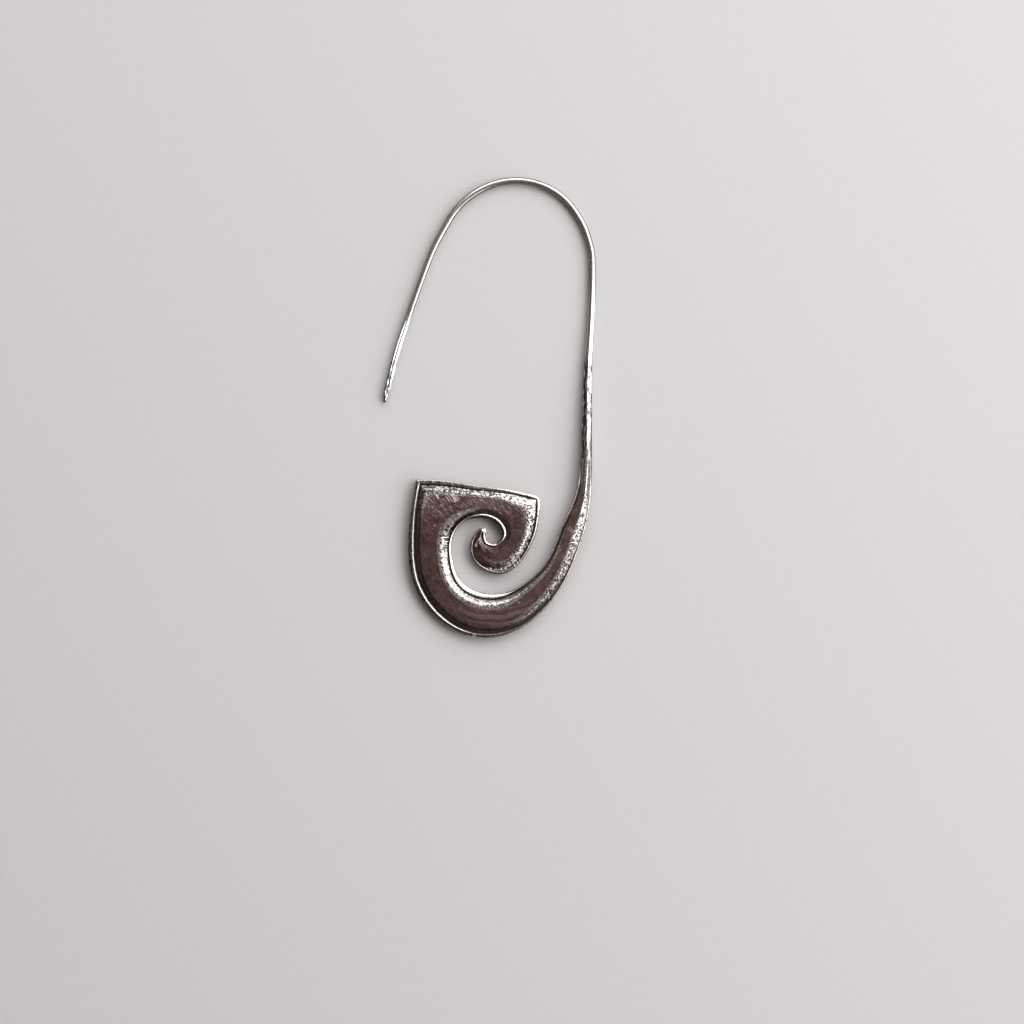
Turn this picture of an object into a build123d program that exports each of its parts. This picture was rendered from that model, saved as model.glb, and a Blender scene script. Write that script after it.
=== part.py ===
from build123d import *
from collections import namedtuple
from math import cos, degrees, radians, sin
import os

# Spiral ear hook in dark silver, cast and forged in one piece, lying on its flat back.
# Millimetres. X runs to its right, Y to its top and Z out of its front.
# It is laid out round the eye of the spiral and centred on the origin at the end.

# Spiral body
spiral_radius = 14.4     # eye of the spiral to its bottom edge
back_thickness = 1.05    # flat back to the floor of the groove
rim_rise = 0.2           # rim above the groove's floor
dome_rise = 0.75         # dome above the groove's floor
rim_width = 0.6          # widest plain stretch of the rim
bevel_drop = 0.3         # rim's crest down to its outer edge
bevel_share = 0.45       # share of the rim's width that is bevelled
groove_width = 0.15      # dark line between rim and dome
flank_share = 0.22       # share of the dome's width that slopes, each side
shoulder_rise = 0.62     # share of the dome's rise where its flank turns over
shoulder_slope = 0.35    # share of the flank's width gone at that height
bead_diameter = 0.7      # bead on the whorl's tip

# Ear wire
arch_radius = 10.75      # axis of the wire over the ear
arch_height = 38.9       # eye of the spiral up to the arch's centre
arch_offset = 3.13       # eye of the spiral across to the arch's centre
arch_turn = 150.5        # degrees of the arch from the limb to the free end
arch_diameter = 0.92     # wire round the arch
limb_diameter = 1.84     # limb where it leaves the spiral body
knee_run = 2.6           # straight wire between the arch and the knee
knee_radius = 30.0       # gentle bend below the arch
knee_turn = 13.0         # degrees of that bend
free_length = 16.4       # straight free end that goes through the ear
wire_diameter = 0.8      # wire of the free end
nose_length = 1.4        # filed point of the free end
nose_diameter = 0.4      # blunt end of that point

# Ribs across the spiral band, clockwise from the right of the eye.
# Radii are shares of spiral_radius, rims are shares of rim_width along the rib.
Rib = namedtuple("Rib", "angle inner outer inner_rim outer_rim")

# Inside the limb, where the rim and groove run out
ROOT = [
    Rib(-45.0, 1.250, 1.310, 0.10, 0.10),
    Rib(-38.0, 1.080, 1.212, 0.25, 0.30),
]

# From the limb down, round the bottom and up to the left corner
SWEEP = [
    Rib(-30.0, 0.948, 1.108, 0.35, 0.35),
    Rib(-19.0, 0.797, 0.998, 0.35, 0.40),
    Rib(-6.0, 0.668, 0.909, 0.40, 0.45),
    Rib(9.0, 0.608, 0.845, 0.40, 0.45),
    Rib(30.0, 0.577, 0.830, 0.40, 0.50),
    Rib(52.0, 0.561, 0.872, 0.50, 0.80),
    Rib(75.0, 0.577, 0.960, 0.90, 1.20),
    Rib(100.0, 0.579, 1.012, 1.15, 1.30),
    Rib(125.0, 0.547, 0.976, 0.95, 1.25),
    Rib(150.0, 0.458, 0.903, 0.60, 1.15),
    Rib(175.0, 0.396, 0.829, 0.55, 1.10),
    Rib(197.0, 0.331, 0.838, 0.50, 1.10),
    Rib(215.5, 0.263, 0.918, 0.55, 1.30),
]

# Across the top to the right corner
TOP = [
    Rib(229.0, 0.216, 0.690, 0.55, 1.35),
    Rib(252.0, 0.160, 0.500, 0.50, 0.90),
    Rib(285.0, 0.115, 0.458, 0.50, 0.85),
    Rib(321.0, 0.093, 0.582, 0.50, 1.05),
]

# Down the right side and round the whorl to its tip
WHORL = [
    Rib(329.0, 0.091, 0.534, 0.45, 0.80),
    Rib(338.0, 0.089, 0.484, 0.40, 0.65),
    Rib(358.0, 0.087, 0.418, 0.35, 0.65),
    Rib(382.0, 0.084, 0.379, 0.35, 0.60),
    Rib(412.0, 0.084, 0.382, 0.35, 0.55),
    Rib(441.0, 0.090, 0.391, 0.35, 0.60),
    Rib(465.0, 0.088, 0.352, 0.35, 0.80),
    Rib(490.0, 0.086, 0.310, 0.35, 0.90),
    Rib(515.0, 0.077, 0.243, 0.30, 0.80),
    Rib(535.0, 0.074, 0.194, 0.30, 0.55),
    Rib(552.0, 0.076, 0.154, 0.25, 0.30),
]

# Limb between the spiral body and the arch, from its root upwards.
# Heights are shares of arch_height, reaches of the arch's right side, and
# diameters of limb_diameter.
Stage = namedtuple("Stage", "height reach diameter")
LIMB = [
    Stage(0.054, 0.835, 0.87),
    Stage(0.125, 0.892, 0.965),
    Stage(0.205, 0.929, 1.00),
    Stage(0.342, 0.943, 0.84),
    Stage(0.486, 0.950, 0.74),
    Stage(0.630, 0.963, 0.61),
    Stage(0.774, 0.989, 0.52),
    Stage(0.882, 1.000, 0.50),
]


def on_rib(angle, radius):
    """Point at a clockwise angle and a radius from the eye."""
    return (radius * cos(radians(angle)), -radius * sin(radians(angle)))


def band_edges(rib, rims, groove, flank):
    """Inner and outer radius on a rib, inside the rims, groove and flank."""
    inner = rib.inner * spiral_radius + rims * rib.inner_rim * rim_width + groove
    outer = rib.outer * spiral_radius - rims * rib.outer_rim * rim_width - groove
    slope = flank * (outer - inner)
    return inner + slope, outer - slope


def tip_place(rims=0.0, groove=0.0, flank=0.0):
    """Far end of the whorl, half a band's width past its last rib."""
    inner, outer = band_edges(WHORL[-1], rims, groove, flank)
    middle = (inner + outer) / 2
    return on_rib(WHORL[-1].angle + degrees((outer - inner) / 2 / middle), middle)


def band_outline(height, root, rims=0.0, groove=0.0, flank=0.0):
    """Outline of the band at a height, from its root ribs to its round tip."""

    def points(ribs, side):
        edges = [band_edges(rib, rims, groove, flank) for rib in ribs]
        return [on_rib(rib.angle, edge[side]) for rib, edge in zip(ribs, edges)]

    tip = tip_place(rims, groove, flank)

    with BuildSketch(Plane.XY.offset(height)) as outline:
        with BuildLine():
            inside = Spline(*points(root + SWEEP + TOP + WHORL, 0))
            left = Spline(*points(root + SWEEP, 1))
            top = Spline(*points(SWEEP[-1:] + TOP, 1))
            whorl = Spline(*points(TOP[-1:] + WHORL, 1))
            Line(inside @ 0, left @ 0)
            ThreePointArc(inside @ 1, tip, whorl @ 1)
        make_face()
    return outline.sketch


def limb_section(stage):
    """Round section of the limb, resting on the plane of the back."""
    diameter = stage.diameter * limb_diameter
    place = (stage.reach * limb_reach, stage.height * arch_height, diameter / 2)
    with BuildSketch(Plane(origin=place, x_dir=(1, 0, 0), z_dir=(0, 1, 0))) as section:
        Circle(diameter / 2)
    return section.sketch


def wire_section(axis, share, diameter):
    """Round section of the wire, square to its axis at a share of its length."""
    with BuildSketch(Plane(origin=axis @ share, z_dir=axis % share)) as section:
        Circle(diameter / 2)
    return section.sketch


rim_crest = back_thickness + rim_rise
rim_edge = rim_crest - bevel_drop
dome_top = back_thickness + dome_rise
dome_shoulder = back_thickness + shoulder_rise * dome_rise
limb_reach = arch_offset + arch_radius

base = band_outline(0, ROOT)
bevel = [
    band_outline(rim_edge, ROOT),
    band_outline(rim_crest, ROOT, rims=bevel_share),
]
recess = band_outline(back_thickness, ROOT, rims=1)
dome = [
    band_outline(height, [], rims=1, groove=groove_width, flank=flank)
    for height, flank in (
        (back_thickness, 0.0),
        (dome_shoulder, shoulder_slope * flank_share),
        (dome_top, flank_share),
    )
]

arch_root = Stage(1.0, 1.0, arch_diameter / limb_diameter)
limb = [limb_section(stage) for stage in LIMB + [arch_root]]

# Axis of the wire, level with the middle of the arch
with BuildLine(Plane.XY.offset(arch_diameter / 2)) as arch:
    CenterArc((arch_offset, arch_height), arch_radius, 0, arch_turn)

with BuildLine() as knee:
    run = Line(arch.line @ 1, arch.line @ 1 + (arch.line % 1) * knee_run)
    JernArc(run @ 1, run % 1, knee_radius, knee_turn)

with BuildLine() as free_end:
    Line(knee.line @ 1, knee.line @ 1 + (knee.line % 1) * free_length)

with BuildLine() as nose:
    Line(free_end.line @ 1, free_end.line @ 1 + (free_end.line % 1) * nose_length)

with BuildPart() as ear_hook:
    # Spiral body: flat back, bevelled rim, groove and dome
    extrude(base, amount=rim_edge)
    loft(bevel)
    extrude(recess, amount=rim_rise, mode=Mode.SUBTRACT)
    loft(dome)

    # Bead on the tip, level with the rim's crest
    with Locations((*tip_place(rims=1), rim_crest)):
        Sphere(bead_diameter / 2)

    # Limb, swelling from the wire into the band
    loft(limb)

    # Arch over the ear
    sweep(wire_section(arch.line, 0, arch_diameter), path=arch.line)

    # Knee, thinning towards the free end
    knee_ends = [
        wire_section(knee.line, 0, arch_diameter),
        wire_section(knee.line, 1, wire_diameter),
    ]
    sweep(knee_ends, path=knee.line, multisection=True)

    # Straight free end and its filed point
    sweep(wire_section(free_end.line, 0, wire_diameter), path=free_end.line)
    loft(
        [
            wire_section(nose.line, 0, wire_diameter),
            wire_section(nose.line, 1, nose_diameter),
        ]
    )

# Origin under the middle of the whole piece
extent = ear_hook.part.bounding_box()
ear_hook.part.position = (-extent.center().X, -extent.center().Y, -extent.min.Z)

os.makedirs("parts", exist_ok=True)
ear_hook.part.label = "spiral_ear_hook"
export_step(ear_hook.part, "parts/spiral_ear_hook.step")
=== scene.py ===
import math
from collections import namedtuple

import bpy
import numpy as np
from mathutils import Matrix, Vector, noise


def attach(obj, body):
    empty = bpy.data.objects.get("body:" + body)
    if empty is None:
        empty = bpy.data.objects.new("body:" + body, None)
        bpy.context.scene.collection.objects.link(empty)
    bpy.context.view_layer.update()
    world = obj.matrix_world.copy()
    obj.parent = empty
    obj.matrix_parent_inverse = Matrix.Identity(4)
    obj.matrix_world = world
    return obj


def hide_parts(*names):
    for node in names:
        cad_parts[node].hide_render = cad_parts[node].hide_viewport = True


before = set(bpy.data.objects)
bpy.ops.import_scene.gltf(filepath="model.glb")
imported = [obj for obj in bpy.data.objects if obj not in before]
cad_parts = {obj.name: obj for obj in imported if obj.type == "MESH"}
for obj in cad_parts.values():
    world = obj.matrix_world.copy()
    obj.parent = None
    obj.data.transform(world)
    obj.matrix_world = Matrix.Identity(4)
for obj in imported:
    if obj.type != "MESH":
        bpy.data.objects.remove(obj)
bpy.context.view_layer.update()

# Spiral ear hook in dark silver. Lengths are millimetres about the eye of the
# spiral, X to its right and Y to its top, until the mesh is made.
MM = 0.001
EYE = Vector((0.529247, -17.8208, 0.0))  # eye of the spiral in the row frame

# Spiral body
SPIRAL_RADIUS = 14.4
GROOVE_FLOOR = 1.14
RIM_CREST = 1.32
RIM_TILT = 0.05       # fall of the rim's top towards its outer edge
BEVEL_TURN = 1.4      # how early the bevel and the slope turn over
SLOPE_TURN = 1.2
FLOOR_DIP = 0.04      # how far the groove's floor dips below its sides
DOME_TOP = 1.79       # the dome's height at the head of its flanks
DOME_CROWN = 0.04     # rise of the dome's middle above its flanks
FLANK_SHARE = 0.42    # largest share of a narrow dome that one flank takes
CORNER_ROUND = 0.42   # rounding of the right corner
RIGHT_CUT = (0.35 * CORNER_ROUND, 0.9 * CORNER_ROUND)     # depth off the corner, reach
LEFT_CUT = (0.05, 0.2)

# Bead at the whorl's tip: its round top is worn flat and leans to the upper right
BEAD_PLACE = (-1.30, 0.58, 1.44)
BEAD_SIZE = (0.84, 0.76, 0.32)
BEAD_LEAN = 27.0
BEAD_BEARING = 60.0

# Ear wire
ARCH_RADIUS = 10.75
ARCH_HEIGHT = 38.9
ARCH_OFFSET = 3.13
ARCH_TURN = 150.5
ARCH_DIAMETER = 0.92
LIMB_DIAMETER = 1.84
LIMB_REACH = ARCH_OFFSET + ARCH_RADIUS
KNEE_RUN = 2.6
KNEE_RADIUS = 30.0
KNEE_TURN = 13.0
FREE_LENGTH = 16.4
WIRE_DIAMETER = 0.8
NOSE_LENGTH = 1.4
NOSE_DIAMETER = 0.42
NOSE_SHARES = (0.35, 0.62, 0.82, 0.95, 1.0)     # how far its blunt end has closed
NOSE_STEP = 0.055
ARCH_STEPS = 51
AXIS_HEIGHT = ARCH_DIAMETER / 2
SHOULDER_SLOPE = 0.55     # hammered outer shoulder of the limb
SHOULDER_SHARE = 0.85
END_SLOPE = 0.44          # filed top of the free end, and how deep the file went
END_CUT = 0.45
END_LINE = 0.0            # dark line along it, and half its width, as shares of the radius
END_LINE_HALF = 0.18


def rows(kind, *values):
    """Named rows from plain tuples."""
    return [kind(*v) for v in values]


# Small bends left by the hand in the wire: length from the arch's right end, and how
# far it lies outside its drawn line
Bend = namedtuple("Bend", "along aside")
BENDS = rows(
    Bend,
    (0.0, 0.04), (1.1, -0.08), (2.4, -0.19), (4.0, -0.23), (6.2, -0.24), (7.9, -0.16),
    (9.4, -0.07), (11.4, 0.0), (16.9, 0.0), (19.7, -0.05), (22.5, -0.10), (28.2, -0.09),
    (31.2, -0.09), (34.3, -0.15), (35.9, -0.16), (37.4, -0.12), (38.9, -0.04), (40.4, 0.05),
    (43.3, 0.20), (46.2, 0.32), (47.7, 0.34), (49.2, 0.32), (52.1, 0.20), (55.5, 0.05),
)

# Ribs across the band, clockwise from the right of the eye, radii as shares of SPIRAL_RADIUS
Rib = namedtuple("Rib", "angle inner outer")
SWEEP = rows(
    Rib,
    (-30, 0.948, 1.108), (-19, 0.797, 0.998), (-6, 0.668, 0.909), (9, 0.608, 0.845),
    (30, 0.577, 0.830), (52, 0.561, 0.872), (75, 0.577, 0.960), (100, 0.579, 1.012),
    (125, 0.547, 0.976), (150, 0.458, 0.903), (175, 0.396, 0.829), (197, 0.331, 0.838),
    (215.5, 0.263, 0.918),
)
TOP = rows(
    Rib,
    (229, 0.216, 0.690), (252, 0.160, 0.500), (285, 0.115, 0.458), (321, 0.093, 0.582),
)
WHORL = rows(
    Rib,
    (329, 0.091, 0.534), (338, 0.089, 0.484), (358, 0.087, 0.418), (382, 0.084, 0.379),
    (412, 0.084, 0.382), (441, 0.090, 0.391), (465, 0.088, 0.352), (490, 0.086, 0.310),
    (515, 0.077, 0.243), (535, 0.074, 0.194), (552, 0.076, 0.154),
)
TIP_ANGLES = (505, 530)       # between them the inner flank's foot turns dark
LEFT_CORNER = SWEEP[-1].angle
RIGHT_CORNER = TOP[-1].angle
LIMB_FOOT = SWEEP[0].angle
TIP = WHORL[-1].angle

# Limb from the arch down, heights as shares of ARCH_HEIGHT
Stage = namedtuple("Stage", "height reach diameter")
LIMB = rows(
    Stage,
    (1.000, 1.000, 0.50), (0.882, 1.000, 0.50), (0.774, 0.989, 0.52), (0.630, 0.963, 0.61),
    (0.486, 0.950, 0.74), (0.342, 0.943, 0.84), (0.205, 0.929, 1.00),
)

# Where a line across the band meets its outer and its inner edge, as angles
Pair = namedtuple("Pair", "outer inner")
PAIRS = rows(
    Pair,
    (-29.9, -33.5), (-4.7, -13.5), (20, 12), (45, 42), (70, 70), (110, 110), (150, 133),
    (215.5, 189), (262, 248), (321, 309), (340, 338), (360, 360), (552, 552),
)

# Rims, measured square to their edge: whole width, width and drop of the bevel on
# the outside, slope on the groove's side, the groove beside them, the share of its
# full depth, the width of the dome's flank there, how early it turns over, and how
# marked by tools it is
Rim = namedtuple("Rim", "angle width bevel drop slope groove depth flank turn tooling")
OUTER_RIM = rows(
    Rim,
    (-60, 0.14, 0.14, 0.10, 0.00, 0.05, 0.00, 1.00, 1.2, 0.5),
    (-45, 0.16, 0.16, 0.10, 0.00, 0.05, 0.00, 1.10, 1.2, 0.7),
    (-30, 0.18, 0.18, 0.10, 0.00, 0.05, 0.00, 1.15, 1.2, 0.7),
    (-6, 0.20, 0.15, 0.10, 0.01, 0.06, 0.10, 1.15, 1.2, 0.8),
    (12, 0.22, 0.14, 0.10, 0.02, 0.08, 0.20, 1.05, 1.3, 0.8),
    (30, 0.26, 0.14, 0.11, 0.04, 0.10, 0.45, 1.00, 1.4, 0.8),
    (52, 0.32, 0.15, 0.13, 0.06, 0.12, 0.60, 0.90, 1.5, 0.7),
    (75, 0.42, 0.20, 0.20, 0.06, 0.13, 0.50, 0.85, 1.6, 0.4),
    (95, 0.54, 0.26, 0.24, 0.07, 0.13, 0.60, 0.80, 1.7, 0.3),
    (107, 0.66, 0.28, 0.22, 0.20, 0.15, 0.90, 0.80, 1.7, 0.3),
    (124, 0.76, 0.30, 0.22, 0.26, 0.15, 1.00, 0.80, 1.7, 0.3),
    (147, 0.84, 0.31, 0.22, 0.26, 0.15, 1.00, 0.80, 1.7, 0.3),
    (170, 0.86, 0.28, 0.22, 0.22, 0.15, 1.00, 0.80, 1.7, 0.3),
    (193, 0.80, 0.22, 0.20, 0.21, 0.14, 1.00, 0.75, 1.7, 0.3),
    (202, 0.74, 0.18, 0.20, 0.22, 0.14, 1.00, 0.70, 1.7, 0.4),
    (213, 0.68, 0.18, 0.20, 0.22, 0.13, 1.00, 0.75, 1.7, 0.6),
    (219, 0.60, 0.13, 0.08, 0.07, 0.12, 1.00, 0.72, 1.3, 1.0),
    (232, 0.56, 0.12, 0.07, 0.07, 0.11, 1.00, 0.70, 1.2, 1.0),
    (252, 0.48, 0.12, 0.07, 0.07, 0.11, 1.00, 0.66, 1.2, 1.0),
    (285, 0.42, 0.17, 0.09, 0.07, 0.11, 0.90, 0.80, 1.2, 1.0),
    (303, 0.42, 0.28, 0.16, 0.06, 0.12, 1.00, 1.25, 1.5, 1.0),
    (321, 0.38, 0.32, 0.18, 0.05, 0.12, 1.00, 1.60, 1.7, 1.0),
    (338, 0.34, 0.26, 0.18, 0.05, 0.15, 1.00, 1.05, 1.6, 1.0),
    (358, 0.34, 0.22, 0.20, 0.06, 0.13, 0.90, 0.95, 1.5, 1.0),
    (382, 0.36, 0.20, 0.22, 0.06, 0.13, 0.80, 0.90, 1.5, 1.0),
    (412, 0.36, 0.20, 0.22, 0.08, 0.13, 0.60, 0.90, 1.5, 0.9),
    (441, 0.34, 0.20, 0.22, 0.06, 0.11, 0.40, 1.10, 1.4, 0.8),
    (465, 0.30, 0.20, 0.20, 0.04, 0.08, 0.15, 1.20, 1.3, 0.4),
    (490, 0.28, 0.20, 0.20, 0.03, 0.06, 0.05, 1.20, 1.2, 0.2),
    (515, 0.26, 0.18, 0.20, 0.03, 0.06, 0.05, 1.00, 1.2, 0.2),
    (535, 0.24, 0.15, 0.20, 0.03, 0.08, 0.15, 0.70, 1.3, 0.2),
    (552, 0.18, 0.12, 0.22, 0.04, 0.10, 0.50, 0.45, 1.5, 0.3),
)
INNER_RIM = rows(
    Rim,
    (-60, 0.14, 0.06, 0.22, 0.06, 0.10, 0.00, 0.90, 1.7, 0.3),
    (-47, 0.20, 0.07, 0.28, 0.10, 0.12, 0.30, 0.60, 1.7, 0.3),
    (-34, 0.22, 0.08, 0.28, 0.12, 0.13, 0.45, 0.45, 1.7, 0.3),
    (-9, 0.24, 0.07, 0.28, 0.14, 0.10, 0.50, 0.25, 1.7, 0.3),
    (29, 0.25, 0.07, 0.26, 0.15, 0.12, 0.55, 0.32, 1.7, 0.7),
    (62, 0.24, 0.10, 0.24, 0.11, 0.15, 0.80, 0.55, 1.7, 0.8),
    (72, 0.26, 0.17, 0.20, 0.06, 0.19, 1.00, 0.80, 1.7, 0.8),
    (79, 0.46, 0.26, 0.18, 0.08, 0.15, 1.00, 0.85, 1.7, 0.8),
    (86, 0.56, 0.36, 0.20, 0.10, 0.13, 1.00, 0.90, 1.7, 0.9),
    (100, 0.66, 0.52, 0.25, 0.10, 0.12, 1.00, 0.95, 1.7, 0.9),
    (115, 0.66, 0.58, 0.26, 0.06, 0.12, 1.00, 0.95, 1.7, 0.9),
    (132, 0.50, 0.42, 0.24, 0.05, 0.13, 1.00, 1.00, 1.7, 0.9),
    (148, 0.36, 0.30, 0.22, 0.04, 0.14, 1.00, 1.05, 1.7, 0.9),
    (166, 0.30, 0.24, 0.18, 0.04, 0.15, 1.00, 1.00, 1.6, 1.0),
    (178, 0.28, 0.20, 0.18, 0.05, 0.16, 1.00, 0.85, 1.6, 1.0),
    (187, 0.28, 0.19, 0.18, 0.05, 0.17, 1.00, 0.42, 1.7, 1.0),
    (200, 0.30, 0.18, 0.18, 0.06, 0.16, 1.00, 0.40, 1.7, 0.9),
    (219, 0.44, 0.30, 0.22, 0.10, 0.11, 0.70, 0.60, 1.7, 0.6),
    (232, 0.52, 0.36, 0.24, 0.14, 0.08, 0.55, 0.75, 1.6, 0.4),
    (247, 0.60, 0.40, 0.24, 0.18, 0.06, 0.50, 0.90, 1.5, 0.3),
    (293, 0.62, 0.38, 0.24, 0.20, 0.06, 0.50, 0.95, 1.5, 0.3),
    (351, 0.58, 0.34, 0.22, 0.20, 0.06, 0.50, 0.90, 1.5, 0.3),
    (380, 0.44, 0.28, 0.20, 0.13, 0.08, 0.50, 0.80, 1.5, 0.3),
    (410, 0.34, 0.22, 0.18, 0.06, 0.12, 0.60, 0.75, 1.6, 0.3),
    (450, 0.30, 0.20, 0.16, 0.05, 0.14, 0.90, 0.60, 1.7, 0.3),
    (492, 0.30, 0.23, 0.17, 0.04, 0.16, 1.00, 0.50, 1.7, 0.3),
    (530, 0.27, 0.22, 0.18, 0.03, 0.18, 1.20, 0.40, 1.7, 0.5),
    (552, 0.24, 0.20, 0.18, 0.03, 0.14, 1.20, 0.30, 1.7, 0.5),
)

# Along the top and towards the whorl's tip the dome falls, by outer angle, and beside
# the eye the rim stands higher too, by inner angle
Side = namedtuple("Side", "angle lift fall")
WHORL_SIDE = rows(
    Side,
    (-60, 0.0, 0.0), (205, 0.0, 0.0), (222, 0.0, 0.14), (285, 0.0, 0.12), (303, 0.0, 0.0),
    (390, 0.0, 0.0), (425, 0.0, 0.10), (455, 0.0, 0.24), (490, 0.0, 0.33), (552, 0.0, 0.34),
)
EYE_SIDE = rows(
    Side,
    (-60, 0.0, 0.0), (205, 0.0, 0.0), (240, 0.22, 0.04), (300, 0.28, 0.06), (366, 0.28, 0.08),
    (390, 0.28, 0.18), (552, 0.24, 0.22),
)

# Painted shade: how dark the bevel and the top of each rim, and the flank, are painted
Shade = namedtuple("Shade", "angle bevel top flank")
OUTER_SHADES = rows(
    Shade,
    (-60, 0.2, 0.2, 0.0), (-30, 0.6, 0.4, 0.35), (0, 0.6, 0.5, 0.60), (12, 0.6, 0.7, 0.75),
    (22, 0.5, 0.7, 0.85), (60, 0.5, 0.7, 0.9), (80, 0.4, 0.7, 0.65), (98, 0.8, 0.7, 0.45),
    (130, 0.85, 0.6, 0.6), (190, 0.85, 0.7, 0.6), (214, 0.8, 0.7, 0.5), (217, 0.4, 0.8, 0.85),
    (228, 0.6, 0.85, 0.60), (243, 0.6, 0.85, 0.50), (256, 0.6, 0.85, 0.40), (275, 0.5, 0.8, 0.25),
    (290, 0.3, 0.4, 0.05), (300, 0.1, 0.2, 0.0), (330, 0.1, 0.2, 0.0), (342, 0.4, 0.6, 0.45),
    (382, 0.4, 0.7, 0.45), (440, 0.5, 0.7, 0.30), (465, 0.75, 0.5, 0.1), (535, 0.75, 0.5, 0.05),
    (552, 0.4, 0.4, 0.2),
)
INNER_SHADES = rows(
    Shade,
    (-60, 0.0, 0.0, 0.0), (70, 0.0, 0.2, 0.0), (80, 0.0, 0.0, 0.0), (135, 0.0, 0.0, 0.0),
    (150, 0.0, 0.0, 0.15), (161, 0.0, 0.1, 0.45), (172, 0.0, 0.1, 0.80), (184, 0.0, 0.2, 1.0),
    (200, 0.0, 0.3, 1.0), (214, 0.3, 0.3, 0.8), (228, 0.7, 0.1, 0.25), (250, 0.8, 0.0, 0.15),
    (370, 0.8, 0.0, 0.15), (386, 0.8, 0.3, 0.3), (394, 0.8, 0.8, 0.4), (418, 0.7, 0.8, 0.5),
    (428, 0.1, 0.3, 0.6), (440, 0.0, 0.1, 0.7), (552, 0.0, 0.1, 0.8),
)

# Marks left by tools and wear: middle, length, half width, turn anticlockwise
# from the right, and depth, below zero where the metal stands up
Mark = namedtuple("Mark", "x y length width turn depth")
SPECKS = (
    (-7.91, 5.39), (-7.70, 5.11), (-6.79, 5.70), (-5.67, 1.61), (-8.19, 1.26), (3.64, -9.52),
    (6.44, -9.10), (4.48, -7.70), (5.32, -7.07), (-0.84, -9.66), (9.94, -5.60), (10.22, -4.76),
    (7.84, -8.82),
)
LUMPS = (
    (-7.76, 6.70), (-7.41, 6.56), (-6.50, 6.56), (-6.43, 6.07), (-4.75, 6.45), (-3.98, 6.28),
    (-3.49, 6.28), (-2.51, 6.11), (-1.39, 6.19),
)
SPECK = (0.08, 0.09, 0, -0.030)       # small and raised
LUMP = (0.16, 0.12, -15, -0.030)      # along the top flank
MARKS = [Mark(*place, *SPECK) for place in SPECKS] + [Mark(*place, *LUMP) for place in LUMPS]
MARKS += rows(
    Mark,
    # Bright smudge near the whorl's tip
    (-2.06, -0.80, 0.36, 0.11, 62, -0.050), (-2.38, -1.58, 0.08, 0.12, 0, -0.050),
    # Bright bits along the foot of the whorl
    (-0.42, -4.76, 0.14, 0.10, -20, -0.090), (0.14, -4.95, 0.12, 0.10, -10, -0.090),
    (0.78, -4.92, 0.16, 0.10, 0, -0.090), (1.60, -4.80, 0.14, 0.10, 20, -0.090),
    # Blob on the bottom rim and dent in the arm
    (-2.65, -14.14, 0.14, 0.16, 0, -0.060), (11.76, -1.08, 1.12, 0.30, -4, 0.030),
    # Dents in the limb
    (12.98, 23.30, 0.40, 0.20, 80, 0.035), (12.85, 22.40, 0.50, 0.16, 95, 0.035),
    (13.10, 21.60, 0.50, 0.14, 100, 0.030), (13.40, 26.40, 1.60, 0.10, 88, 0.020),
    (12.90, 32.60, 0.30, 0.30, 0, 0.040),
)

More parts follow.
